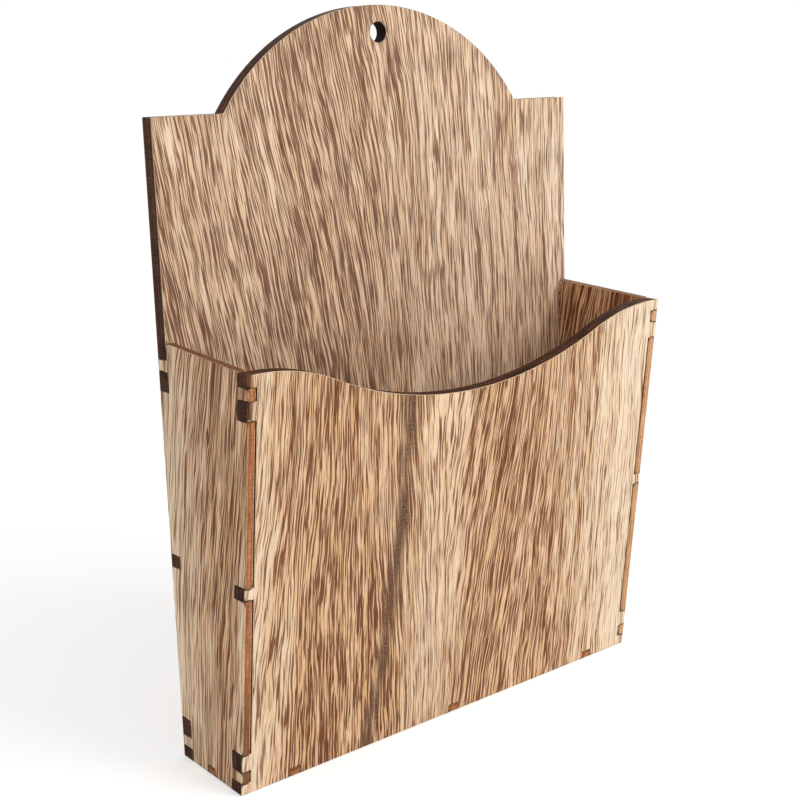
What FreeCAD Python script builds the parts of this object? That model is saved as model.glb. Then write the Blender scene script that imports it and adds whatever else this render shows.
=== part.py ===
import FreeCAD, Part
import math
import os
import Sketcher

# Wall magazine rack of laser-cut sheet wood: a wedge-shaped pocket on a tall arched back.
# Five flat panels interlock with finger joints at every edge and are glued.
# Millimetres. +X is right seen from the front, +Y points into the wall, +Z is up.
# The origin is the centre of the hanging hole, on the wall plane.

SIZES = {
    # outline of the whole rack
    "outer_width": 216,
    "shoulder_height": 259,
    "arch_rise": 41,
    "arch_radius": 92,
    # the pocket: sides fall a little towards the front, and the front leans outward
    "side_rear_height": 174,
    "front_height": 170,
    "top_depth": 65,
    "bottom_depth": 44,
    # sheet stock: front and back are thick, sides and bottom are thin
    "thick_board": 7,
    "thin_board": 3.5,
    # scalloped top edge of the front: one broad dip between two rounded shoulders
    "dip_depth": 23.5,
    "dip_radius": 160,
    "dip_shoulder_radius": 80,
    # hanging hole near the top of the arch
    "hole_diameter": 8.5,
    "hole_drop": 11,
    # finger joints
    "finger": 5,
    "wide_finger": 7.5,
    "rear_lap": 7,
    "floor_tab": 5,
    "floor_tab_inset": 25.2,
    "joint_clearance": 0.1,
    # the front's side notches are cut deeper than a side is thick, which leaves a gap at the corner
    "corner_gap": 0.6,
}

doc = FreeCAD.newDocument("wall_magazine_rack")
sheet = doc.addObject("Spreadsheet::Sheet", "Sizes")
for row, (alias, value) in enumerate(SIZES.items(), start=1):
    sheet.set(f"A{row}", alias)
    sheet.set(f"B{row}", str(value))
    sheet.setAlias(f"B{row}", alias)
doc.recompute()


def size(alias):
    return f"Sizes.{alias}"


# Derived sizes, written as expressions of the sheet's cells
HALF_WIDTH = f"({size('outer_width')} / 2)"
INNER_HALF = f"({HALF_WIDTH} - {size('thin_board')})"
THICK = size("thick_board")
THIN = size("thin_board")
FINGER = size("finger")
CLEARANCE = size("joint_clearance")
FRONT_TOP = size("front_height")
SIDE_TOP = size("side_rear_height")
HOLE_HEIGHT = f"({size('shoulder_height')} + {size('arch_rise')} - {size('hole_drop')})"
LEAN = f"(({size('top_depth')} - {size('bottom_depth')}) / {FRONT_TOP})"
LEVEL_THICK = f"({THICK} * sqrt(1 + {LEAN}^2))"
FLOOR_TAB_CENTRES = (f"({size('floor_tab_inset')} - {HALF_WIDTH})", "0",
                     f"({HALF_WIDTH} - {size('floor_tab_inset')})")
FLOOR_TAB_DEPTH = f"({size('bottom_depth')} / 2)"
NOTCH_HALF = f"({size('floor_tab')} / 2 + {CLEARANCE})"
NOTCH_TOP = f"({THIN} + {CLEARANCE})"


def outer_face(z):
    """Y of the front panel's outer face at height z."""
    return f"(-{size('bottom_depth')} - {LEAN} * ({z}))"


def inner_face(z):
    """Y of the front panel's inner face at height z."""
    return f"({outer_face(z)} + {LEVEL_THICK})"


def finger_levels(top, lap):
    """Heights where a corner joint changes from board to side, from the bottom up."""
    middle = f"{FRONT_TOP} / 2"
    upper = f"{top} - {lap}"
    wide = size("wide_finger")
    return [FINGER, f"2 * {FINGER}", f"2 * {FINGER} + {wide}", f"{middle} - {FINGER} / 2",
            f"{middle} + {FINGER} / 2", f"{upper} - {FINGER} - {wide}", f"{upper} - {FINGER}", upper]


def board_zones(top, lap):
    """Height ranges where the front or back runs through to the side's outer face."""
    levels = [f"-{FINGER}"] + finger_levels(top, lap) + [f"{top} + {FINGER}"]
    return list(zip(levels[0::2], levels[1::2]))


def side_zones(top, lap):
    """Height ranges where a side's tab fills a notch in the front or back."""
    levels = finger_levels(top, lap)
    return list(zip(levels[0::2], levels[1::2]))


def number(expression):
    return float(sheet.evalExpression(expression))


def new_body(label):
    body = doc.addObject("PartDesign::Body", label)
    body.Label = label
    body.setExpression("Placement.Base.z", f"-{HOLE_HEIGHT}")
    return body


def new_sketch(body, name, role):
    """Empty sketch on one of the body's own origin planes."""
    sketch = body.newObject("Sketcher::SketchObject", f"{body.Label}_{name}")
    plane = next(item for item in body.Origin.OriginFeatures if item.Role == role)
    sketch.AttachmentSupport = [(plane, "")]
    sketch.MapMode = "FlatFace"
    return sketch


def bind(sketch, kind, places, expression):
    """One dimension of a sketch, tied to the sheet."""
    index = sketch.addConstraint(Sketcher.Constraint(kind, *places, number(expression)))
    sketch.setExpression(f"Constraints[{index}]", expression)


def arc_between(start, end, radius, turn):
    """Arc of less than half a circle; turn is 1 for anticlockwise travel and -1 for clockwise."""
    chord = end - start
    across = FreeCAD.Vector(-chord.y, chord.x, 0).normalize() * turn
    height = math.sqrt(radius ** 2 - (chord.Length / 2) ** 2)
    centre = (start + end) * 0.5 + across * height
    first, last = (start, end) if turn > 0 else (end, start)
    angles = [math.atan2(point.y - centre.y, point.x - centre.x) for point in (first, last)]
    circle = Part.Circle(centre, FreeCAD.Vector(0, 0, 1), radius)
    return Part.ArcOfCircle(circle, angles[0], angles[1])


def draw_outline(sketch, corners, arcs=None):
    """Closed outline through corners; arcs maps a corner's index to the radius and turn of its next edge."""
    arcs = arcs or {}
    points = [FreeCAD.Vector(number(x), number(y), 0) for x, y in corners]
    edges = []
    for index, start in enumerate(points):
        end = points[(index + 1) % len(points)]
        if index in arcs:
            radius, turn = arcs[index]
            curve = arc_between(start, end, number(radius), turn)
            geometry = sketch.addGeometry(curve, False)
            edges.append((geometry, 1, 2) if turn > 0 else (geometry, 2, 1))
            bind(sketch, "Radius", (geometry,), radius)
        else:
            geometry = sketch.addGeometry(Part.LineSegment(start, end), False)
            edges.append((geometry, 1, 2))
    for index, (geometry, first, last) in enumerate(edges):
        following, following_first, _ = edges[(index + 1) % len(edges)]
        sketch.addConstraint(Sketcher.Constraint("Coincident", geometry, last, following, following_first))
        bind(sketch, "DistanceX", (-1, 1, geometry, first), corners[index][0])
        bind(sketch, "DistanceY", (-1, 1, geometry, first), corners[index][1])


def draw_rectangle(sketch, left, right, low, high):
    draw_outline(sketch, [(left, low), (right, low), (right, high), (left, high)])


def pad(body, sketch, length, symmetric=False):
    feature = body.newObject("PartDesign::Pad", f"{sketch.Name}_pad")
    feature.Profile = sketch
    feature.setExpression("Length", length)
    if symmetric:
        feature.SideType = "Symmetric"
    doc.recompute()
    return feature


def cut_through(body, sketch):
    """Pocket through the whole body on both sides of its sketch; it has to take material away."""
    before = body.Shape.Volume
    feature = body.newObject("PartDesign::Pocket", f"{sketch.Name}_cut")
    feature.Profile = sketch
    feature.Type = "ThroughAll"
    feature.SideType = "Symmetric"
    doc.recompute()
    if not body.Shape.Volume < before:
        raise RuntimeError(f"{feature.Name} cuts nothing")
    return feature


def mirror_across_width(body, feature):
    """Repeats an end's cut on the other end of a panel."""
    mirrored = body.newObject("PartDesign::Mirrored", f"{feature.Name}_mirrored")
    mirrored.Originals = [feature]
    plane = next(item for item in body.Origin.OriginFeatures if item.Role == "YZ_Plane")
    mirrored.MirrorPlane = (plane, [""])
    body.Tip = mirrored
    doc.recompute()


def cut_side_notches(body, top, lap, notch_end):
    """Notches in both ends of the front or back, where the sides' tabs come through."""
    sketch = new_sketch(body, "finger_notches", "XZ_Plane")
    for low, high in side_zones(top, lap):
        draw_rectangle(sketch, notch_end, f"{HALF_WIDTH} + {FINGER}",
                       f"{low} - {CLEARANCE}", f"{high} + {CLEARANCE}")
    mirror_across_width(body, cut_through(body, sketch))


def cut_floor_notches(body):
    """Notches open at the lower edge of the front or back, for the bottom panel's tabs."""
    sketch = new_sketch(body, "floor_notches", "XZ_Plane")
    for centre in FLOOR_TAB_CENTRES:
        draw_rectangle(sketch, f"{centre} - {NOTCH_HALF}", f"{centre} + {NOTCH_HALF}", f"-{FINGER}", NOTCH_TOP)
    cut_through(body, sketch)


def make_back():
    """Tall back with level shoulders, a round arch and the hanging hole."""
    body = new_body("back_panel")
    shoulder = size("shoulder_height")
    rise = size("arch_rise")
    radius = size("arch_radius")
    half_chord = f"sqrt(2 * {radius} * {rise} - {rise}^2)"
    outline = new_sketch(body, "outline", "XZ_Plane")
    corners = [(f"-{HALF_WIDTH}", "0"), (HALF_WIDTH, "0"), (HALF_WIDTH, shoulder), (half_chord, shoulder),
               (f"-{half_chord}", shoulder), (f"-{HALF_WIDTH}", shoulder)]
    draw_outline(outline, corners, {3: (radius, 1)})
    pad(body, outline, THICK)
    cut_side_notches(body, SIDE_TOP, size("rear_lap"), INNER_HALF)
    cut_floor_notches(body)
    hole = new_sketch(body, "hanging_hole", "XZ_Plane")
    rim = Part.Circle(FreeCAD.Vector(0, number(HOLE_HEIGHT), 0), FreeCAD.Vector(0, 0, 1),
                      number(size("hole_diameter")) / 2)
    circle = hole.addGeometry(rim, False)
    bind(hole, "DistanceX", (-1, 1, circle, 3), "0")
    bind(hole, "DistanceY", (-1, 1, circle, 3), HOLE_HEIGHT)
    bind(hole, "Diameter", (circle,), size("hole_diameter"))
    cut_through(body, hole)
    return body


def make_front():
    """Front that leans outward, with level joint faces and a scalloped top edge."""
    body = new_body("front_panel")
    profile = new_sketch(body, "profile", "YZ_Plane")
    corners = [(outer_face("0"), "0"), (inner_face("0"), "0"), (inner_face(FRONT_TOP), FRONT_TOP),
               (outer_face(FRONT_TOP), FRONT_TOP)]
    draw_outline(profile, corners)
    pad(body, profile, size("outer_width"), symmetric=True)
    dip = size("dip_depth")
    dip_radius = size("dip_radius")
    shoulder_radius = size("dip_shoulder_radius")
    both_radii = f"({dip_radius} + {shoulder_radius})"
    reach = f"sqrt(2 * {both_radii} * {dip} - {dip}^2)"
    bend = f"{reach} * {dip_radius} / {both_radii}"
    bend_height = f"{FRONT_TOP} - {dip} * {shoulder_radius} / {both_radii}"
    above = f"{FRONT_TOP} + {FINGER}"
    scallop = new_sketch(body, "scallop", "XZ_Plane")
    corners = [(f"-{reach}", FRONT_TOP), (f"-{bend}", bend_height), (bend, bend_height), (reach, FRONT_TOP),
               (reach, above), (f"-{reach}", above)]
    draw_outline(scallop, corners, {0: (shoulder_radius, -1), 1: (dip_radius, 1), 2: (shoulder_radius, -1)})
    cut_through(body, scallop)
    cut_side_notches(body, FRONT_TOP, FINGER, f"{INNER_HALF} - {size('corner_gap')}")
    cut_floor_notches(body)
    return body


def make_side(label, outer_x):
    """Tapered side, notched where the front, the back and the bottom panel's tab come through."""
    body = new_body(label)
    body.setExpression("Placement.Base.x", outer_x)
    blank = new_sketch(body, "blank", "YZ_Plane")
    corners = [(outer_face("0"), "0"), ("0", "0"), ("0", SIDE_TOP), (outer_face(FRONT_TOP), FRONT_TOP)]
    draw_outline(blank, corners)
    pad(body, blank, THIN)
    rear = new_sketch(body, "rear_notches", "YZ_Plane")
    for low, high in board_zones(SIDE_TOP, size("rear_lap")):
        draw_rectangle(rear, f"-{THICK}", THICK, low, high)
    cut_through(body, rear)
    front = new_sketch(body, "front_notches", "YZ_Plane")
    for low, high in board_zones(FRONT_TOP, FINGER):
        draw_outline(front, [(f"{outer_face(low)} - {THICK}", low), (inner_face(low), low),
                             (inner_face(high), high), (f"{outer_face(high)} - {THICK}", high)])
    cut_through(body, front)
    floor = new_sketch(body, "floor_notch", "YZ_Plane")
    draw_rectangle(floor, f"-{FLOOR_TAB_DEPTH} - {NOTCH_HALF}", f"-{FLOOR_TAB_DEPTH} + {NOTCH_HALF}",
                   f"-{FINGER}", NOTCH_TOP)
    cut_through(body, floor)
    return body


def make_bottom():
    """Floor of the pocket, with tabs that show in the lower edges of all four walls."""
    body = new_body("bottom_panel")
    tab_half = f"{size('floor_tab')} / 2"
    plate = new_sketch(body, "plate", "XY_Plane")
    draw_rectangle(plate, f"-{INNER_HALF}", INNER_HALF, inner_face("0"), f"-{THICK}")
    pad(body, plate, THIN)
    tabs = new_sketch(body, "front_and_back_tabs", "XY_Plane")
    for centre in FLOOR_TAB_CENTRES:
        draw_rectangle(tabs, f"{centre} - {tab_half}", f"{centre} + {tab_half}", outer_face("0"), "0")
    pad(body, tabs, THIN)
    side_tabs = new_sketch(body, "side_tabs", "XY_Plane")
    draw_rectangle(side_tabs, f"-{HALF_WIDTH}", HALF_WIDTH, f"-{FLOOR_TAB_DEPTH} - {tab_half}",
                   f"-{FLOOR_TAB_DEPTH} + {tab_half}")
    pad(body, side_tabs, THIN)
    return body


panels = [
    make_back(),
    make_front(),
    make_side("left_side", f"-{HALF_WIDTH}"),
    make_side("right_side", INNER_HALF),
    make_bottom(),
]

doc.recompute()
for item in doc.Objects:
    if "Invalid" in item.State or "Error" in item.State:
        raise RuntimeError(f"{item.Name} failed: {item.State}")
for panel in panels:
    if panel.Shape.isNull() or not panel.Shape.isValid() or len(panel.Shape.Solids) != 1:
        raise RuntimeError(f"{panel.Label} is not one valid solid")

os.makedirs("parts", exist_ok=True)
for panel in panels:
    panel.Shape.exportStep(f"parts/{panel.Label}.step")
    print(panel.Label, round(panel.Shape.Volume, 1), panel.Shape.BoundBox)
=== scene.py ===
"""Looks of a wall magazine rack: five finger-jointed panels of streaked, laser-cut sheet wood."""
import math
from dataclasses import dataclass

import bmesh
import bpy
from mathutils import Matrix, Vector, noise
from mathutils.bvhtree import BVHTree
from mathutils.geometry import tessellate_polygon


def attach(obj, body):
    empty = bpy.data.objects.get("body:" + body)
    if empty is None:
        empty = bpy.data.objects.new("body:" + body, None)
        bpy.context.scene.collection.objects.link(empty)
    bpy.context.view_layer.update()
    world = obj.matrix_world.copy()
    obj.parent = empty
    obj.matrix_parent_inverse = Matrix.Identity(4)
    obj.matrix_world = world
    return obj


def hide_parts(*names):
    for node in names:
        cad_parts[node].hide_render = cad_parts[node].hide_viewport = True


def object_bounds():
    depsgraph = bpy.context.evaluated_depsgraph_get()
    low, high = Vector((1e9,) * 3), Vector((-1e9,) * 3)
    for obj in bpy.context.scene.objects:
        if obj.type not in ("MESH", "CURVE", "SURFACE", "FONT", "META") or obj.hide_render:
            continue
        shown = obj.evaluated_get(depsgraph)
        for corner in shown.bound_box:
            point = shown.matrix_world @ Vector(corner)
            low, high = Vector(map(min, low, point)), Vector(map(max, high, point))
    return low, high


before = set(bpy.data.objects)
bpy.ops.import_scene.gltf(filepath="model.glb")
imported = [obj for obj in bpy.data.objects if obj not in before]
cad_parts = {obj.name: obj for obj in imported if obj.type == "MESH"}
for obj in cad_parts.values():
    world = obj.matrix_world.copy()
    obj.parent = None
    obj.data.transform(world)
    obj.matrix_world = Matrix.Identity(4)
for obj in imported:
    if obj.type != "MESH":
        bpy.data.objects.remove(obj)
cad_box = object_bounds()

MM = 0.001

# The solids' box in millimetres, and directions in the shared frame
LOW, HIGH = (corner / MM for corner in cad_box)
LEFT, RIGHT = (-1, 0, 0), (1, 0, 0)
FRONT, BACK = (0, -1, 0), (0, 1, 0)
DOWN, UP = (0, 0, -1), (0, 0, 1)

# Reading a panel's outline from its solid
WELD = 1e-6
FACING_LIMIT = 0.9
LONGEST_RUN = 4 * MM
GENTLE_TURN = math.radians(8)
SHARP_ANGLE = math.radians(30)

# Build-up of a board from either face inwards
ARRIS = 0.26 * MM
RIM = 0.8 * MM
VENEER = 0.5 * MM
RECESS = 0.08 * MM
WEAR_PITCH = 6 * MM
WEAR_SHARE = 0.5
KERF_REACH = 0.4 * MM
FACE, PLY, CORE = range(3)


# Board meshes

@dataclass
class Panel:
    """One board: its node, its slot and its axes as seen from outside."""
    node: str
    slot: str
    outward: tuple
    across: tuple
    up: tuple


class Shell:
    """A board's mesh as it grows: points with their marks, and faces with their zones."""

    def __init__(self):
        self.points = []
        self.faces = []
        self.zones = []
        self.marks = {"char": [], "bare": [], "depth": []}

    def add_point(self, place, **marks):
        self.points.append(place)
        for name, value in marks.items():
            self.marks[name].append(value)

    def add_face(self, corners, zone):
        self.faces.append(corners)
        self.zones.append(zone)

    def mesh(self, name):
        made = bpy.data.meshes.new(name)
        made.from_pydata(self.points, [], self.faces)
        made.polygons.foreach_set("material_index", self.zones)
        for mark, values in self.marks.items():
            made.attributes.new(mark, "FLOAT", "POINT").data.foreach_set("value", values)
        even_normals(made)
        made.shade_smooth()
        made.set_sharp_from_angle(angle=SHARP_ANGLE)
        return made


def even_normals(mesh):
    """Turns every face of a closed mesh outwards."""
    shape = bmesh.new()
    shape.from_mesh(mesh)
    bmesh.ops.recalc_face_normals(shape, faces=shape.faces)
    shape.to_mesh(mesh)
    shape.free()


def border(faces):
    """The outer edges of a patch of faces, as the next corner after each corner."""
    inside = {f.index for f in faces}
    onward = {}
    for face in faces:
        for corner in face.loops:
            beside = [f for f in corner.edge.link_faces if f is not face]
            if not any(f.index in inside for f in beside):
                onward[corner.vert] = corner.link_loop_next.vert
    return onward


def chained(onward):
    """Closed loops of corners, from the next corner after each corner."""
    loops = []
    while onward:
        first = next(iter(onward))
        loop = [first]
        following = onward.pop(first)
        while following is not first:
            loop.append(following)
            following = onward.pop(following)
        loops.append(loop)
    return loops


def face_loops(node, facing):
    """Corner loops round the node's faces that look along `facing`, longest first, and their normal."""
    shape = bmesh.new()
    shape.from_mesh(node.data)
    bmesh.ops.remove_doubles(shape, verts=shape.verts, dist=WELD)
    shape.normal_update()
    shape.faces.index_update()
    chosen = [f for f in shape.faces if f.normal.dot(facing) > FACING_LIMIT]
    normal = sum((f.normal * f.calc_area() for f in chosen), Vector())
    loops = [[corner.co.copy() for corner in loop] for loop in chained(border(chosen))]
    shape.free()
    return sorted(loops, key=len, reverse=True), normal.normalized()


def turn_at(before, here, after):
    """Signed turn of a flat path at one point."""
    first = here - before
    second = after - here
    return math.atan2(first.x * second.y - first.y * second.x, first.dot(second))


def rounded(points):
    """The outline with a point added on the arc of each stretch that bends gently."""
    made = []
    count = len(points)
    for i, here in enumerate(points):
        before, after, beyond = points[i - 1], points[(i + 1) % count], points[(i + 2) % count]
        made.append(here)
        turns = (turn_at(before, here, after), turn_at(here, after, beyond))
        if turns[0] * turns[1] > 0 and max(map(abs, turns)) < GENTLE_TURN:
            chord = after - here
            arc = sum(turns) / 2
            bulge = math.tan(arc / 4) / 2
            made.append((here + after) / 2 + Vector((chord.y, -chord.x)) * bulge)
    return made


def divided(points):
    """The outline with its long straight runs cut into equal steps."""
    made = []
    for i, here in enumerate(points):
        after = points[(i + 1) % len(points)]
        steps = max(1, math.ceil((after - here).length / LONGEST_RUN))
        made.extend(here.lerp(after, k / steps) for k in range(steps))
    return made


def inward_mitres(points):
    """For each point, the move into the board that shifts both its edges by one unit."""
    made = []
    for i, here in enumerate(points):
        before = (here - points[i - 1]).normalized()
        after = (points[(i + 1) % len(points)] - here).normalized()
        left = Vector((-before.y, before.x))
        right = Vector((-after.y, after.x))
        made.append((left + right) / (1 + left.dot(right)))
    return made


def build_up(thickness):
    """Rings of a board's section as (depth, inset), and the zone between each ring and the next."""
    half = [(0, RIM), (0, ARRIS), (ARRIS, 0), (VENEER, 0), (VENEER + RECESS, RECESS)]
    rings = half + [(thickness - depth, inset) for depth, inset in reversed(half)]
    zones = [FACE, FACE, PLY, CORE]
    return rings, zones + [CORE] + zones[::-1]


def neighbour_trees(node):
    """Search trees of every board but this one."""
    trees = []
    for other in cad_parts.values():
        if other is not node:
            corners = [v.co for v in other.data.vertices]
            trees.append(BVHTree.FromPolygons(corners, [p.vertices for p in other.data.polygons]))
    return trees


def nearby(trees, point):
    """1 where another board lies within the reach of the cut, else 0."""
    return float(any(tree.find_nearest(point, KERF_REACH)[0] is not None for tree in trees))


def wear(point, depth):
    """How far an arris is worn at a point, about 1."""
    return 1 + WEAR_SHARE * noise.noise(Vector((point.x, point.y, depth)) / WEAR_PITCH)


@dataclass
class Section:
    """A board in its own plane: its outlines, the axes back to the frame, its start and its thickness."""
    outlines: list
    basis: Matrix
    start: float
    thickness: float


def panel_section(panel, node):
    """Reads a board's section from its solid."""
    outward, across, up = (Vector(v) for v in (panel.outward, panel.across, panel.up))
    loops, normal = face_loops(node, outward)
    inner_loops, _ = face_loops(node, -outward)
    through = -outward
    along = up - through * (normal.dot(up) / normal.dot(through))
    basis = Matrix((across, along, through)).transposed()
    flat = basis.inverted()
    start = (flat @ loops[0][0]).z
    thickness = (flat @ inner_loops[0][0]).z - start
    outlines = [[(flat @ corner).xy for corner in loop] for loop in loops]
    return Section(outlines, basis, start, thickness)


def add_rings(shell, section, rings, points, mitres, trees):
    """The points of one outline, ring by ring from the outer face to the inner one."""
    for depth, inset in rings:
        in_veneer = inset == 0 and min(depth, section.thickness - depth) < VENEER
        for point, mitre in zip(points, mitres):
            worn = wear(point, depth) if inset == ARRIS else 1
            moved = point + mitre * inset * worn
            place = section.basis @ Vector((moved.x, moved.y, section.start + depth))
            place.z = min(place.z, cad_box[1].z)
            char = 0.0 if inset == RIM else nearby(trees, place)
            # The veneer rings carry the mark of the worn arris and its painted highlight
            shell.add_point(place, char=char, bare=float(in_veneer), depth=depth / MM)


def add_walls(shell, zones, first, count):
    """The faces between each ring of one outline and the next."""
    for ring, zone in enumerate(zones):
        low = first + ring * count
        for i in range(count):
            j = (i + 1) % count
            shell.add_face((low + i, low + j, low + count + j, low + count + i), zone)


def panel_mesh(panel):
    """Mesh of one board, layered as veneer, core and veneer, on the outline of its solid."""
    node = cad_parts[panel.node]
    trees = neighbour_trees(node)
    section = panel_section(panel, node)
    rings, zones = build_up(section.thickness)
    shell = Shell()
    rims, outer_face, inner_face = [], [], []
    for outline in section.outlines:
        points = divided(rounded(rounded(outline)))
        mitres = inward_mitres(points)
        count = len(points)
        first = len(shell.points)
        add_rings(shell, section, rings, points, mitres, trees)
        add_walls(shell, zones, first, count)
        last = len(shell.points)
        rims.append([(p + m * RIM).to_3d() for p, m in zip(points, mitres)])
        outer_face.extend(range(first, first + count))
        inner_face.extend(range(last - count, last))
    for triangle in tessellate_polygon(rims):
        for corners in (outer_face, inner_face):
            shell.add_face(tuple(corners[i] for i in triangle), FACE)
    return shell.mesh(panel.node + "_veneered")


# Node trees

def linear(colour):
    """An sRGB colour written as 0 to 255 per channel, as the shader's own values."""
    shares = [c / 255 for c in colour]
    return [s / 12.92 if s <= 0.04045 else ((s + 0.055) / 1.055) ** 2.4 for s in shares] + [1.0]


@dataclass
class Finish:
    """A surface: its roughness, how that varies, the depth of its relief and its sheen."""
    roughness: float
    uneven: float
    relief: float
    specular: float


class Value:
    """A number in a node tree that takes plain arithmetic."""

    def __init__(self, graph, socket):
        self.graph = graph
        self.socket = socket

    def __add__(self, other):
        return self.graph.math("ADD", self, other)

    def __sub__(self, other):
        return self.graph.math("SUBTRACT", self, other)

    def __rsub__(self, other):
        return self.graph.math("SUBTRACT", other, self)

    def __mul__(self, other):
        return self.graph.math("MULTIPLY", self, other)

    def __truediv__(self, other):
        return self.graph.math("DIVIDE", self, other)

    __radd__ = __add__
    __rmul__ = __mul__


class Graph:
    """The node tree of one material, with a short call for each kind of node in use."""

    def __init__(self, name):
        self.material = bpy.data.materials.new(name)
        self.material.use_nodes = True
        self.tree = self.material.node_tree
        self.shader = self.tree.nodes["Principled BSDF"]

    def node(self, kind, **settings):
        made = self.tree.nodes.new("ShaderNode" + kind)
        for key, value in settings.items():
            setattr(made, key, value)
        return made

    def feed(self, socket, value):
        """Joins a value to a socket, or sets the socket to a plain number or colour."""
        if isinstance(value, Value):
            self.tree.links.new(value.socket, socket)
        elif isinstance(value, (tuple, list)):
            socket.default_value = linear(value)
        else:
            socket.default_value = value

    def math(self, operation, *values):
        made = self.node("Math", operation=operation)
        for socket, value in zip(made.inputs, values):
            self.feed(socket, value)
        return Value(self, made.outputs[0])

    def split(self, coordinates):
        """The three numbers of one kind of texture coordinate."""
        made = self.node("SeparateXYZ")
        self.tree.links.new(self.node("TexCoord").outputs[coordinates], made.inputs[0])
        return [Value(self, socket) for socket in made.outputs]

    def place(self):
        """The point's own x, y and z in millimetres."""
        return [value / MM for value in self.split("Object")]

    def attribute(self, name):
        return Value(self, self.node("Attribute", attribute_name=name).outputs["Fac"])

    def noise(self, x, y, z, detail=1.0, roughness=0.5):
        """Noise from 0 to 1."""
        joined = self.node("CombineXYZ")
        for socket, value in zip(joined.inputs, (x, y, z)):
            self.feed(socket, value)
        made = self.node("TexNoise")
        self.tree.links.new(joined.outputs[0], made.inputs["Vector"])
        made.inputs["Scale"].default_value = 1.0
        made.inputs["Detail"].default_value = detail
        made.inputs["Roughness"].default_value = roughness
        return Value(self, made.outputs[0])

    def rise(self, value, low, high):
        """0 below `low`, 1 above `high`, smooth between."""
        made = self.node("MapRange", interpolation_type="SMOOTHSTEP")
        for name, given in (("Value", value), ("From Min", low), ("From Max", high)):
            self.feed(made.inputs[name], given)
        return Value(self, made.outputs[0])

    def blend(self, share, first, second, mode="MIX"):
        """From the first colour to the second by a share."""
        made = self.node("Mix", data_type="RGBA", blend_type=mode)
        for index, given in ((0, share), (6, first), (7, second)):
            self.feed(made.inputs[index], given)
        return Value(self, made.outputs[2])

    def ramp(self, share, stops, interpolation):
        """Colours at (position, colour) stops from 0 to 1."""
        made = self.node("ValToRGB")
        made.color_ramp.interpolation = interpolation
        elements = made.color_ramp.elements
        while len(elements) < len(stops):
            elements.new(0.5)
        for element, (position, colour) in zip(elements, stops):
            element.position = position
            element.color = colour
        self.feed(made.inputs[0], share)
        return Value(self, made.outputs[0])

    def curve(self, value, span, heights):
        """A smooth curve through (position, height) points along a span."""
        low, high = span
        length = high - low
        stops = [((position - low) / length, (height, height, height, 1)) for position, height in heights]
        return self.ramp((value - low) / length, stops, "CARDINAL")

    def shades(self, share, colours):
        """From the first colour to the last in equal steps."""
        stops = [(i / (len(colours) - 1), linear(colour)) for i, colour in enumerate(colours)]
        return self.ramp(share, stops, "LINEAR")

    def finish(self, colour, texture, height, finish):
        """Joins colour, roughness and relief to the shader."""
        self.feed(self.shader.inputs["Base Color"], colour)
        self.feed(self.shader.inputs["Roughness"], finish.roughness + texture * finish.uneven)
        self.shader.inputs["Specular IOR Level"].default_value = finish.specular
        bump = self.node("Bump")
        bump.inputs["Strength"].default_value = 1.0
        bump.inputs["Distance"].default_value = finish.relief
        self.feed(bump.inputs["Height"], height)
        self.tree.links.new(bump.outputs[0], self.shader.inputs["Normal"])
        return self.material


# Figure of the wood

@dataclass
class Layer:
    """One noise of the figure: size across and along the grain, place in the noise, and octaves."""
    across: float
    along: float
    place: float = 0.0
    detail: float = 1.0
    roughness: float = 0.5


@dataclass
class Band:
    """A dark band: its middle at the foot, its slope and bend upwards, and how its sides fade."""
    foot: float
    slope: float
    bend: float
    fade: tuple


@dataclass
class Sapwood:
    """A pale wedge: its border at the foot, the border's slope, and how it fades beside and above."""
    foot: float
    slope: float
    beside: tuple
    above: tuple


@dataclass
class Scorch:
    """A scorched rim: the edge it follows, how it fades from there, and the heights where it starts."""
    edge: float
    fade: tuple
    above: tuple


@dataclass
class Knot:
    """A small knot: its middle and its half sizes."""
    across: float
    along: float
    half_width: float
    half_length: float


@dataclass
class Grain:
    """The wood of one sheet: its axes, how brown it is across, how its streaks run, and its marks.

    Sloping streaks turn about the height `middle`, `inside` makes the inner face browner, and the arris
    share is how far the worn arris shows pale wood with a painted highlight.
    """
    across: str
    along: str
    span: tuple
    brown: list
    seed: float
    length: float = 10.5
    width: float = 1.0
    contrast: float = 1.0
    slopes: list = None
    middle: float = -205.0
    patchy: float = 0.6
    grey: float = 0.0
    inside: float = 0.0
    bare: float = 0.2
    band: Band = None
    scorch: Scorch = None
    knot: Knot = None
    sapwood: Sapwood = None


# Layers in millimetres
DRIFT = Layer(across=45, along=130)
WOBBLE = Layer(across=8, along=26)
THIN_ZONES = Layer(across=20, along=150, place=130)
HUES = Layer(across=4, along=45, place=20, detail=2)
PATCHES = Layer(across=1.9, along=12, place=30, detail=3)
GRIT = Layer(across=0.5, along=0.9, detail=2)
WORN = Layer(across=3, along=18, place=4, detail=2)
SWAY = Layer(across=1, along=22, place=8)

# Layers that are stretched by the sheet's own streak length and width
FLAMES = Layer(across=6, along=10, detail=2)
TONGUES = Layer(across=2.6, along=4, place=70, detail=2)
BOLD = Layer(across=1, along=2.8, detail=2, roughness=0.6)
THIN = Layer(across=0.6, along=6, place=110)
FINE = Layer(across=0.5, along=1.6, place=50)
HAIRS = Layer(across=0.33, along=0.7, place=60)

# Step in the noise per millimetre of depth, so that a board's two faces differ
FACE_APART = 3.7

# Course of the streaks: shifts in millimetres, the steepest slope, and the bend round a knot
DRIFT_SHIFT = 10.0
WOBBLE_SHIFT = 2.8
STEEPEST = 0.25
KNOT_PUSH = 0.8
KNOT_FADE = 0.5
KNOT_RIM = (0.6, 1.1)

# Browner zones
FLAME_SHARE = 1.5
TONGUE_SHARE = 1.15
SAPWOOD_SHARE = 0.6
SAPWOOD_FEATHER = 6.0
INNER_FACE = (1.0, 2.0)

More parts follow.
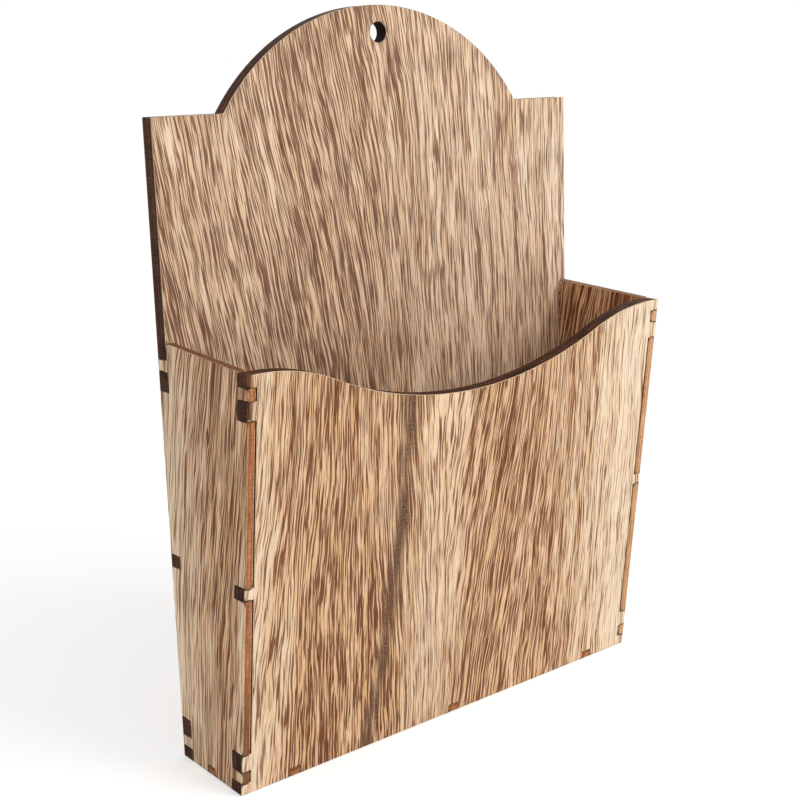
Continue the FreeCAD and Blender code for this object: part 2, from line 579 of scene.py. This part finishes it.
# Ground, lines and patches
GROUND_LEVEL = 0.12
GROUND_BROWN = 0.45
GROUND_COARSE = 0.5
GROUND_HAIRS = 0.6
HUE_RISE = (-0.12, 0.12)
THIN_RISE = (-0.08, 0.08)
FINE_SHARE = 0.85
LINE_RISE = (0.045, 0.125)
LINE_CROWDING = 0.1
LINE_STRENGTH = 0.75
LINE_BROWN = 0.25
HAIR_STRENGTH = 1.1
PATCH_RISE = (0.15, 0.27)
PATCH_BROWN = 0.14
PATCH_STRANDS = 0.6

# Marks
BAND_WOBBLE = 4.0
BAND_STRANDS = 8.0
SWAY_PLACE = 3.0
SWAY_SHIFT = 4.0
WORN_SHARE = 1.7
GRIT_RISE = (0.25, 0.7)
KNOT_SHARE = 0.85
# Rise of the worn arris's pale wood and painted highlight
ARRIS_WEAR_AND_HIGHLIGHT_RISE = (0.1, 0.7)
SCORCH_FEATHER = 6.0
CHAR_RISE = (0.25, 1.0)
CHAR_SHARE = 0.92

# Colours and finish of the veneer
WARM_GROUND = [(252, 229, 198), (234, 191, 144), (208, 155, 104)]
DULL_GROUND = [(250, 228, 201), (230, 187, 143), (204, 149, 103)]
BAND_SHADES = [(158, 117, 87), (112, 78, 56), (72, 47, 32)]
LINE_TINT = (130, 90, 61)
PATCH_TINT = (110, 77, 55)
KNOT_TINT = (58, 38, 27)
SCORCH_TINT = (122, 84, 52)
# Pale worn wood and painted highlight on the arris
ARRIS_WEAR_AND_HIGHLIGHT_TINT = (250, 226, 190)
GREY = (128, 128, 128)
SMOKE = (48, 27, 17)
VENEER_FINISH = Finish(roughness=0.46, uneven=0.12, relief=0.06 * MM, specular=0.2)


class Sheet:
    """The figure of one sheet of wood, as numbers in its material's node tree."""

    def __init__(self, name, grain):
        self.graph = Graph(name)
        self.grain = grain
        axes = dict(zip("xyz", self.graph.place()))
        self.across = axes[grain.across]
        self.along = axes[grain.along]
        self.depth = self.graph.attribute("depth")
        self.level = self.depth * FACE_APART + grain.seed
        self.wobble = self.layer(WOBBLE, self.across)
        self.course = self.find_course()
        self.brown = self.find_brown()
        self.coarse = self.find_coarse()
        self.fine = self.streaks(FINE)
        self.hairs = self.streaks(HAIRS)
        self.strands = self.coarse + self.fine * FINE_SHARE
        crowded = self.strands + self.brown * LINE_CROWDING
        self.lines = self.graph.rise(crowded, *LINE_RISE) * grain.contrast

    def layer(self, layer, across, wide=1.0, long=1.0):
        """A layer of the figure, from -0.5 to 0.5."""
        x = across / (layer.across * wide)
        z = self.along / (layer.along * long)
        return self.graph.noise(x, self.level + layer.place, z, layer.detail, layer.roughness) - 0.5

    def streaks(self, layer):
        """A layer that follows the streaks, stretched as they are."""
        return self.layer(layer, self.course, self.grain.width, self.grain.length)

    def mark(self, layer, across):
        """A layer that is the same through the whole board, from 0 to 1."""
        return self.graph.noise(across / layer.across, layer.place, self.along / layer.along, layer.detail)

    def height(self):
        """Height over the rack's foot."""
        return self.along - LOW.z

    def from_knot(self):
        """Distance from the knot's middle, 1 at its rim."""
        knot = self.grain.knot
        wide = (self.across - knot.across) / knot.half_width
        tall = (self.along - knot.along) / knot.half_length
        return self.graph.math("SQRT", wide * wide + tall * tall)

    def find_course(self):
        """The place across the grain, which stays the same along a streak."""
        grain = self.grain
        course = self.across + self.layer(DRIFT, self.across) * DRIFT_SHIFT + self.wobble * WOBBLE_SHIFT
        if grain.slopes is not None:
            halves = [(position, 0.5 + slope / STEEPEST / 2) for position, slope in grain.slopes]
            slope = (self.graph.curve(self.across, grain.span, halves) - 0.5) * (2 * STEEPEST)
            course = course - slope * (self.along - grain.middle)
        if grain.knot is not None:
            away = self.from_knot()
            aside = self.across - grain.knot.across
            course = course - aside * KNOT_PUSH / (1 + away * away * KNOT_FADE)
        return course

    def find_brown(self):
        """How brown the wood is, from about 0 where it is pale to about 1."""
        grain = self.grain
        flames = self.layer(FLAMES, self.course, long=grain.length)
        brown = self.graph.curve(self.across, grain.span, grain.brown)
        brown = brown + flames * FLAME_SHARE + self.streaks(TONGUES) * TONGUE_SHARE
        if grain.sapwood is not None:
            brown = brown - self.find_sapwood() * SAPWOOD_SHARE
        if grain.inside:
            brown = brown + self.graph.rise(self.depth, *INNER_FACE) * grain.inside
        return brown

    def find_sapwood(self):
        """1 in the pale wedge that rises from the foot, 0 away from it."""
        sapwood = self.grain.sapwood
        height = self.height()
        from_border = self.across - sapwood.foot - height * sapwood.slope + self.wobble * SAPWOOD_FEATHER
        beside = self.graph.rise(from_border, *sapwood.beside)
        above = self.graph.rise(height, *sapwood.above)
        return (1 - beside) * (1 - above)

    def find_coarse(self):
        """The larger streaks, bold in some zones and thin in others."""
        thinner = self.graph.rise(self.layer(THIN_ZONES, self.across), *THIN_RISE)
        bold = self.streaks(BOLD)
        thin = self.streaks(THIN)
        return bold + (thin - bold) * thinner


def ground_colour(sheet):
    """The pale wood between the lines, warmer in some places and duller in others."""
    g = sheet.graph
    share = sheet.brown * GROUND_BROWN + GROUND_LEVEL + sheet.coarse * GROUND_COARSE
    share = share + sheet.hairs * GROUND_HAIRS
    duller = g.rise(sheet.layer(HUES, sheet.course), *HUE_RISE)
    return g.blend(duller, g.shades(share, WARM_GROUND), g.shades(share, DULL_GROUND))


def with_lines(sheet, colour):
    """Dark lines and finer hairs along the grain."""
    strength = LINE_STRENGTH + sheet.brown * LINE_BROWN
    share = sheet.lines * strength + sheet.hairs * HAIR_STRENGTH
    return sheet.graph.blend(share, colour, LINE_TINT, "MULTIPLY")


def with_patches(sheet, colour):
    """Small dull patches among the lines."""
    g = sheet.graph
    patches = sheet.layer(PATCHES, sheet.course) + sheet.brown * PATCH_BROWN + sheet.strands * PATCH_STRANDS
    return g.blend(g.rise(patches, *PATCH_RISE) * sheet.grain.patchy, colour, PATCH_TINT)


def with_greyness(sheet, colour):
    """The wood as a whole a little greyer."""
    if not sheet.grain.grey:
        return colour
    return sheet.graph.blend(sheet.grain.grey, colour, GREY, "SATURATION")


def with_band(sheet, colour):
    """A dark grainy mineral band on a curved course up the board."""
    band = sheet.grain.band
    if band is None:
        return colour
    g = sheet.graph
    height = sheet.height()
    centre = height * height * band.bend + height * band.slope + band.foot
    sway = (sheet.mark(SWAY, SWAY_PLACE) - 0.5) * SWAY_SHIFT
    feather = sheet.wobble * BAND_WOBBLE - sheet.strands * BAND_STRANDS
    away = g.math("ABSOLUTE", sheet.across - centre + sway) + feather
    worn = sheet.mark(WORN, sheet.across) * WORN_SHARE
    grit = g.rise(sheet.mark(GRIT, sheet.across), *GRIT_RISE)
    return g.blend((1 - g.rise(away, *band.fade)) * worn, colour, g.shades(grit, BAND_SHADES))


def with_knot(sheet, colour):
    """The dark eye of a small knot."""
    if sheet.grain.knot is None:
        return colour
    eye = 1 - sheet.graph.rise(sheet.from_knot(), *KNOT_RIM)
    return sheet.graph.blend(eye * KNOT_SHARE, colour, KNOT_TINT)


def with_bare_arris(sheet, colour):
    """Pale worn wood along the arris, with a painted highlight on it."""
    g = sheet.graph
    share = g.rise(g.attribute("bare"), *ARRIS_WEAR_AND_HIGHLIGHT_RISE) * sheet.grain.bare
    return g.blend(share, colour, ARRIS_WEAR_AND_HIGHLIGHT_TINT)


def with_scorch(sheet, colour):
    """A brown rim along one edge of the board's upper part."""
    scorch = sheet.grain.scorch
    if scorch is None:
        return colour
    g = sheet.graph
    from_edge = sheet.across - scorch.edge + sheet.fine * SCORCH_FEATHER
    share = (1 - g.rise(from_edge, *scorch.fade)) * g.rise(sheet.height(), *scorch.above)
    return g.blend(share, colour, SCORCH_TINT, "MULTIPLY")


def with_char(sheet, colour):
    """Smoke from the cut where another board meets this one."""
    g = sheet.graph
    return g.blend(g.rise(g.attribute("char"), *CHAR_RISE) * CHAR_SHARE, colour, SMOKE)


MARKS = [
    with_lines, with_patches, with_greyness, with_band, with_knot, with_bare_arris, with_scorch, with_char,
]


def veneer(name, grain):
    """Streaked veneer: a pale ground, dark lines along the grain, and the marks of the one sheet."""
    sheet = Sheet(name, grain)
    colour = ground_colour(sheet)
    for marked in MARKS:
        colour = marked(sheet, colour)
    return sheet.graph.finish(colour, sheet.lines, 0 - sheet.lines - sheet.coarse, VENEER_FINISH)


# Cut edges

@dataclass
class Edge:
    """One board's cut edges: colours of core and outer plies, a tint for painted shade on level edges and
    for a darker foot, and how strongly each shows.

    Soot fades over the two radii of `bore`.
    """
    core: list
    ply: list
    seed: float
    # Tint of the painted shade on level edges, and of the darker foot
    level_shade_and_foot_tint: tuple = SMOKE
    # Strength of the painted shade on level edges
    level_shade: float = 0.0
    foot_darkening: float = 0.0
    bore: tuple = None


# Sizes in the core, in millimetres: burn lines, blotches, plies, and the heights over which the foot grows
# darker
BURN_LENGTH = 6.0
BURN_WIDTH = 0.5
BLOTCH_SIZE = 12.0
PLY_PITCH = 0.7
FOOT_DARKENING = (27.0, 57.0)
FOOT_FEATHER = 40.0

# How strongly each of them shows, and the core's finish
BURN_ROUGHNESS = 0.6
BURN_SHARE = 1.1
PLY_SHARE = 2.8
PLY_WAVE = 2.0
BLOTCH_SHARE = 1.2
MIDDLE_SHADE = 0.5
LEVEL_RISE = (0.5, 0.8)
SOOT = (30, 16, 9)
SOOT_SHARE = 0.85
CORE_FINISH = Finish(roughness=0.6, uneven=0.3, relief=0.08 * MM, specular=0.06)

# Outer plies
FLECK_SIZE = 1.5
FLECK_RISE = (0.35, 0.7)
PLY_CHAR = 0.75
PLY_FINISH = Finish(roughness=0.55, uneven=0.2, relief=0.05 * MM, specular=0.1)


def with_painted_level_shade(g, colour, edge):
    """Painted shade: darker where an edge lies level than where it stands upright, against the light from
    above.
    """
    if not edge.level_shade:
        return colour
    _, _, upward = g.split("Normal")
    level = g.rise(g.math("ABSOLUTE", upward), *LEVEL_RISE)
    return g.blend(level * edge.level_shade, colour, edge.level_shade_and_foot_tint)


def with_sooty_bore(g, colour, edge, x, z):
    """Soot inside the hanging hole, which lies round the frame's origin."""
    if edge.bore is None:
        return colour
    inside = 1 - g.rise(g.math("SQRT", x * x + z * z), *edge.bore)
    return g.blend(inside * SOOT_SHARE, colour, SOOT)


def with_darker_foot(g, colour, edge, z, blotches):
    """Darker towards the rack's foot."""
    if not edge.foot_darkening:
        return colour
    low = 1 - g.rise(z - LOW.z + blotches * FOOT_FEATHER, *FOOT_DARKENING)
    return g.blend(low * edge.foot_darkening, colour, edge.level_shade_and_foot_tint)


def cut_edge(name, through, edge):
    """Laser-cut core: burn lines through the board and plies along it."""
    g = Graph(name)
    axes = dict(zip("xyz", g.place()))
    stretched = [axes[k] / (BURN_LENGTH if k == through else BURN_WIDTH) for k in "xyz"]
    burn = g.noise(*stretched, detail=2, roughness=BURN_ROUGHNESS) - 0.5
    blotches = g.noise(*(axes[k] / BLOTCH_SIZE for k in "xyz"), detail=2) - 0.5
    plies = g.noise(g.attribute("depth") / PLY_PITCH, edge.seed, blotches * PLY_WAVE) - 0.5
    share = burn * BURN_SHARE + plies * PLY_SHARE + blotches * BLOTCH_SHARE + MIDDLE_SHADE
    colour = with_painted_level_shade(g, g.shades(share, edge.core), edge)
    colour = with_sooty_bore(g, colour, edge, axes["x"], axes["z"])
    colour = with_darker_foot(g, colour, edge, axes["z"], blotches)
    return g.finish(colour, burn, burn, CORE_FINISH)


def ply_edge(name, edge):
    """Cut edge of the thin outer veneer."""
    g = Graph(name)
    x, y, z = (value / FLECK_SIZE for value in g.place())
    flecks = g.noise(x + edge.seed, y, z, detail=2)
    # Painted shade on level ply edges as well
    colour = with_painted_level_shade(g, g.shades(g.rise(flecks, *FLECK_RISE), edge.ply), edge)
    colour = g.blend(g.attribute("char") * PLY_CHAR, colour, SMOKE)
    return g.finish(colour, flecks, flecks, PLY_FINISH)


# Wood of each board, with places in millimetres

CHARRED_CORE = [(108, 70, 50), (64, 41, 31), (33, 21, 17)]
ORANGE_CORE = [(206, 142, 96), (172, 110, 72), (126, 78, 50)]
TAN_CORE = [(226, 178, 134), (206, 152, 108), (168, 118, 82)]
RUST_CORE = [(216, 154, 102), (166, 102, 62), (74, 43, 26)]
BROWN_PLY = [(150, 108, 74), (84, 60, 46)]
PALE_PLY = [(216, 174, 130), (164, 116, 80)]
# The sides' level edges get painted shade, and the left side grows darker towards its foot
EDGES = {
    "front_panel": Edge(CHARRED_CORE, BROWN_PLY, seed=5.0),
    "back_panel": Edge(CHARRED_CORE, BROWN_PLY, seed=7.0, bore=(6.0, 7.0)),
    "left_side": Edge(ORANGE_CORE, PALE_PLY, seed=9.0, level_shade_and_foot_tint=(104, 70, 48), level_shade=0.75, foot_darkening=0.6),
    "right_side": Edge(TAN_CORE, PALE_PLY, seed=13.0, level_shade_and_foot_tint=(122, 92, 78), level_shade=0.75),
    "bottom_panel": Edge(RUST_CORE, PALE_PLY, seed=21.0),
}

WIDTH_SPAN = (LOW.x, HIGH.x)
DEPTH_SPAN = (LOW.y, HIGH.y)
FRONT_BROWN = [
    (-108, 0.15), (-98, 0.5), (-85, 0.75), (-70, 0.9), (-35, 0.8), (-13, 0.35),
    (12, 0.95), (35, 0.8), (60, 0.65), (90, 0.05), (108, 0.05),
]
FRONT_SLOPES = [
    (-108, 0.08), (-75, 0.02), (-50, -0.05), (-30, -0.08), (-10, 0.01),
    (12, 0.1), (50, 0.02), (80, -0.02), (108, -0.03),
]
BACK_BROWN = [(-108, 0.95), (-70, 0.75), (-25, 1.15), (5, 0.85), (35, 0.6), (70, 0.65), (108, 0.6)]
BACK_SLOPES = [(-108, -0.14), (-25, -0.18), (15, -0.09), (60, -0.04), (108, -0.02)]
SIDE_GRAIN = {
    "across": "y",
    "along": "z",
    "span": DEPTH_SPAN,
    "brown": [(-65, 0.9), (-35, 0.7), (0, 0.2)],
    "slopes": [(-65, -0.18), (-30, -0.2), (0, -0.13)],
    "length": 14.0,
    "width": 0.8,
    "contrast": 1.15,
    "patchy": 0.25,
    "inside": 0.45,
    "sapwood": Sapwood(foot=-44.0, slope=-0.117, beside=(2.0, 5.0), above=(87.5, 125.0)),
}
GRAINS = {
    "front_panel": Grain(
        "x", "z", WIDTH_SPAN, FRONT_BROWN, seed=3.0, slopes=FRONT_SLOPES, bare=0.8,
        band=Band(foot=-47.3, slope=0.2, bend=-0.00068, fade=(1.26, 6.3)),
        scorch=Scorch(edge=LOW.x, fade=(0.9, 3.0), above=(152.0, 154.0))),
    "back_panel": Grain(
        "x", "z", WIDTH_SPAN, BACK_BROWN, seed=41.0, slopes=BACK_SLOPES, middle=-40.0,
        length=11.0, contrast=0.9, grey=0.13, bare=0.5),
    "left_side": Grain(
        **SIDE_GRAIN, seed=17.0,
        knot=Knot(across=-34.4, along=-147.0, half_width=1.1, half_length=3.8)),
    "right_side": Grain(**SIDE_GRAIN, seed=29.0),
    "bottom_panel": Grain("y", "x", DEPTH_SPAN, [(-65, 0.7), (0, 0.8)], seed=77.0),
}


def wood_materials(panel):
    """Face, ply and core materials of one board."""
    through = "xyz"[[abs(v) for v in panel.outward].index(1)]
    edge = EDGES[panel.node]
    face = veneer(panel.node + "_veneer", GRAINS[panel.node])
    ply = ply_edge(panel.node + "_ply", edge)
    core = cut_edge(panel.node + "_core", through, edge)
    return face, ply, core


# Object

PANELS = [
    Panel("back_panel", "back_wood", outward=FRONT, across=RIGHT, up=UP),
    Panel("front_panel", "front_wood", outward=FRONT, across=RIGHT, up=UP),
    Panel("left_side", "side_wood", outward=LEFT, across=FRONT, up=UP),
    Panel("right_side", "side_wood", outward=RIGHT, across=BACK, up=UP),
    Panel("bottom_panel", "floor_wood", outward=DOWN, across=RIGHT, up=FRONT),
]


def make_panel(panel):
    """The dressed board in the place of its solid."""
    mesh = panel_mesh(panel)
    for material in wood_materials(panel):
        mesh.materials.append(material)
    piece = bpy.data.objects.new(panel.node + "_veneered", mesh)
    bpy.context.scene.collection.objects.link(piece)
    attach(piece, "root")
    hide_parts(panel.node)


# Stage

# Floor: sizes in metres, brightness for bounced light and for the camera, and its change to white
FLOOR_HALF = 4.0
FLOOR_GAP = 0.2 * MM
FLOOR_COLOUR = 0.9
FLOOR_SEEN = 1.5
WHITE_SHARE = 0.4
WHITE_FROM = 0.12
WHITE_AT = 0.5

# Light
AMBIENT = 0.55
LAMP_AIM = (0, -0.04, -0.15)
LAMPS = [
    {"name": "key", "place": (0.55, -1.1, 0.65), "size": 0.9, "power": 10.5},
    {"name": "fill", "place": (-1.1, -0.7, 0.3), "size": 1.0, "power": 2.5},
]

# Camera
EYE = (-0.35636, -0.46381, -0.01735)
AZIMUTH = math.radians(-38.009)
ELEVATION = math.radians(11.592)
ROLL = math.radians(-1.841)
LENS_MM = 61.46
SENSOR_MM = 36.0
FRAME_SHIFT = (0.0124, -0.0564)


def floor_material():
    """Pale matte that keeps the rack's shadow and goes over into white further off."""
    g = Graph("floor_white")
    x, y, _ = g.place()
    away = g.math("SQRT", x * x + y * y) * MM
    seen = Value(g, g.node("LightPath").outputs["Is Camera Ray"])
    matte = g.node("BsdfDiffuse")
    g.feed(matte.inputs["Color"], seen * (FLOOR_SEEN - FLOOR_COLOUR) + FLOOR_COLOUR)
    white = g.node("Emission")
    mixed = g.node("MixShader")
    whiter = WHITE_SHARE + g.rise(away, WHITE_FROM, WHITE_AT) * (1 - WHITE_SHARE)
    g.feed(mixed.inputs[0], whiter * seen)
    g.tree.links.new(matte.outputs[0], mixed.inputs[1])
    g.tree.links.new(white.outputs[0], mixed.inputs[2])
    g.tree.links.new(mixed.outputs[0], g.tree.nodes["Material Output"].inputs["Surface"])
    g.tree.nodes.remove(g.shader)
    return g.material


def make_floor():
    """A wide floor just under the rack."""
    height = cad_box[0].z - FLOOR_GAP
    corners = [(-1, -1), (1, -1), (1, 1), (-1, 1)]
    mesh = bpy.data.meshes.new("floor")
    mesh.from_pydata([(x * FLOOR_HALF, y * FLOOR_HALF, height) for x, y in corners], [], [(0, 1, 2, 3)])
    mesh.materials.append(floor_material())
    floor = bpy.data.objects.new("floor", mesh)
    bpy.context.scene.collection.objects.link(floor)


def make_world():
    """Even soft light, with a white background for the camera and for reflections."""
    world = bpy.data.worlds.new("studio")
    bpy.context.scene.world = world
    world.use_nodes = True
    tree = world.node_tree
    tree.nodes.clear()
    path = tree.nodes.new("ShaderNodeLightPath")
    seen = path.outputs["Is Camera Ray"]
    for name in ("Is Glossy Ray", "Is Transmission Ray"):
        either = tree.nodes.new("ShaderNodeMath")
        either.operation = "MAXIMUM"
        tree.links.new(seen, either.inputs[0])
        tree.links.new(path.outputs[name], either.inputs[1])
        seen = either.outputs[0]
    strength = tree.nodes.new("ShaderNodeMapRange")
    strength.inputs["To Min"].default_value = AMBIENT
    tree.links.new(seen, strength.inputs["Value"])
    background = tree.nodes.new("ShaderNodeBackground")
    background.inputs["Color"].default_value = (1, 1, 1, 1)
    tree.links.new(strength.outputs[0], background.inputs["Strength"])
    output = tree.nodes.new("ShaderNodeOutputWorld")
    tree.links.new(background.outputs[0], output.inputs["Surface"])


def make_lamp(name, place, size, power):
    """A square soft lamp that looks at the rack."""
    lamp = bpy.data.lights.new(name, "AREA")
    lamp.size = size
    lamp.energy = power
    holder = bpy.data.objects.new(name, lamp)
    bpy.context.scene.collection.objects.link(holder)
    holder.location = place
    holder.rotation_euler = (Vector(LAMP_AIM) - Vector(place)).to_track_quat("-Z", "Y").to_euler()


def make_camera():
    """The camera at the photo's viewing angle."""
    level = Vector((math.cos(AZIMUTH), math.sin(AZIMUTH), 0))
    towards = Vector((math.sin(AZIMUTH), -math.cos(AZIMUTH), 0))
    back = towards * math.cos(ELEVATION) + Vector(UP) * math.sin(ELEVATION)
    upright = back.cross(level)
    right = level * math.cos(ROLL) + upright * math.sin(ROLL)
    up = upright * math.cos(ROLL) - level * math.sin(ROLL)
    lens = bpy.data.cameras.new("camera")
    lens.lens = LENS_MM
    lens.sensor_width = SENSOR_MM
    lens.shift_x, lens.shift_y = FRAME_SHIFT
    camera = bpy.data.objects.new("camera", lens)
    bpy.context.scene.collection.objects.link(camera)
    turn = Matrix((right, up, back)).transposed().to_4x4()
    camera.matrix_world = Matrix.Translation(EYE) @ turn
    bpy.context.scene.camera = camera


bpy.context.scene.view_settings.view_transform = "Standard"
for board in PANELS:
    make_panel(board)
make_floor()
make_world()
for lamp in LAMPS:
    make_lamp(**lamp)
make_camera()
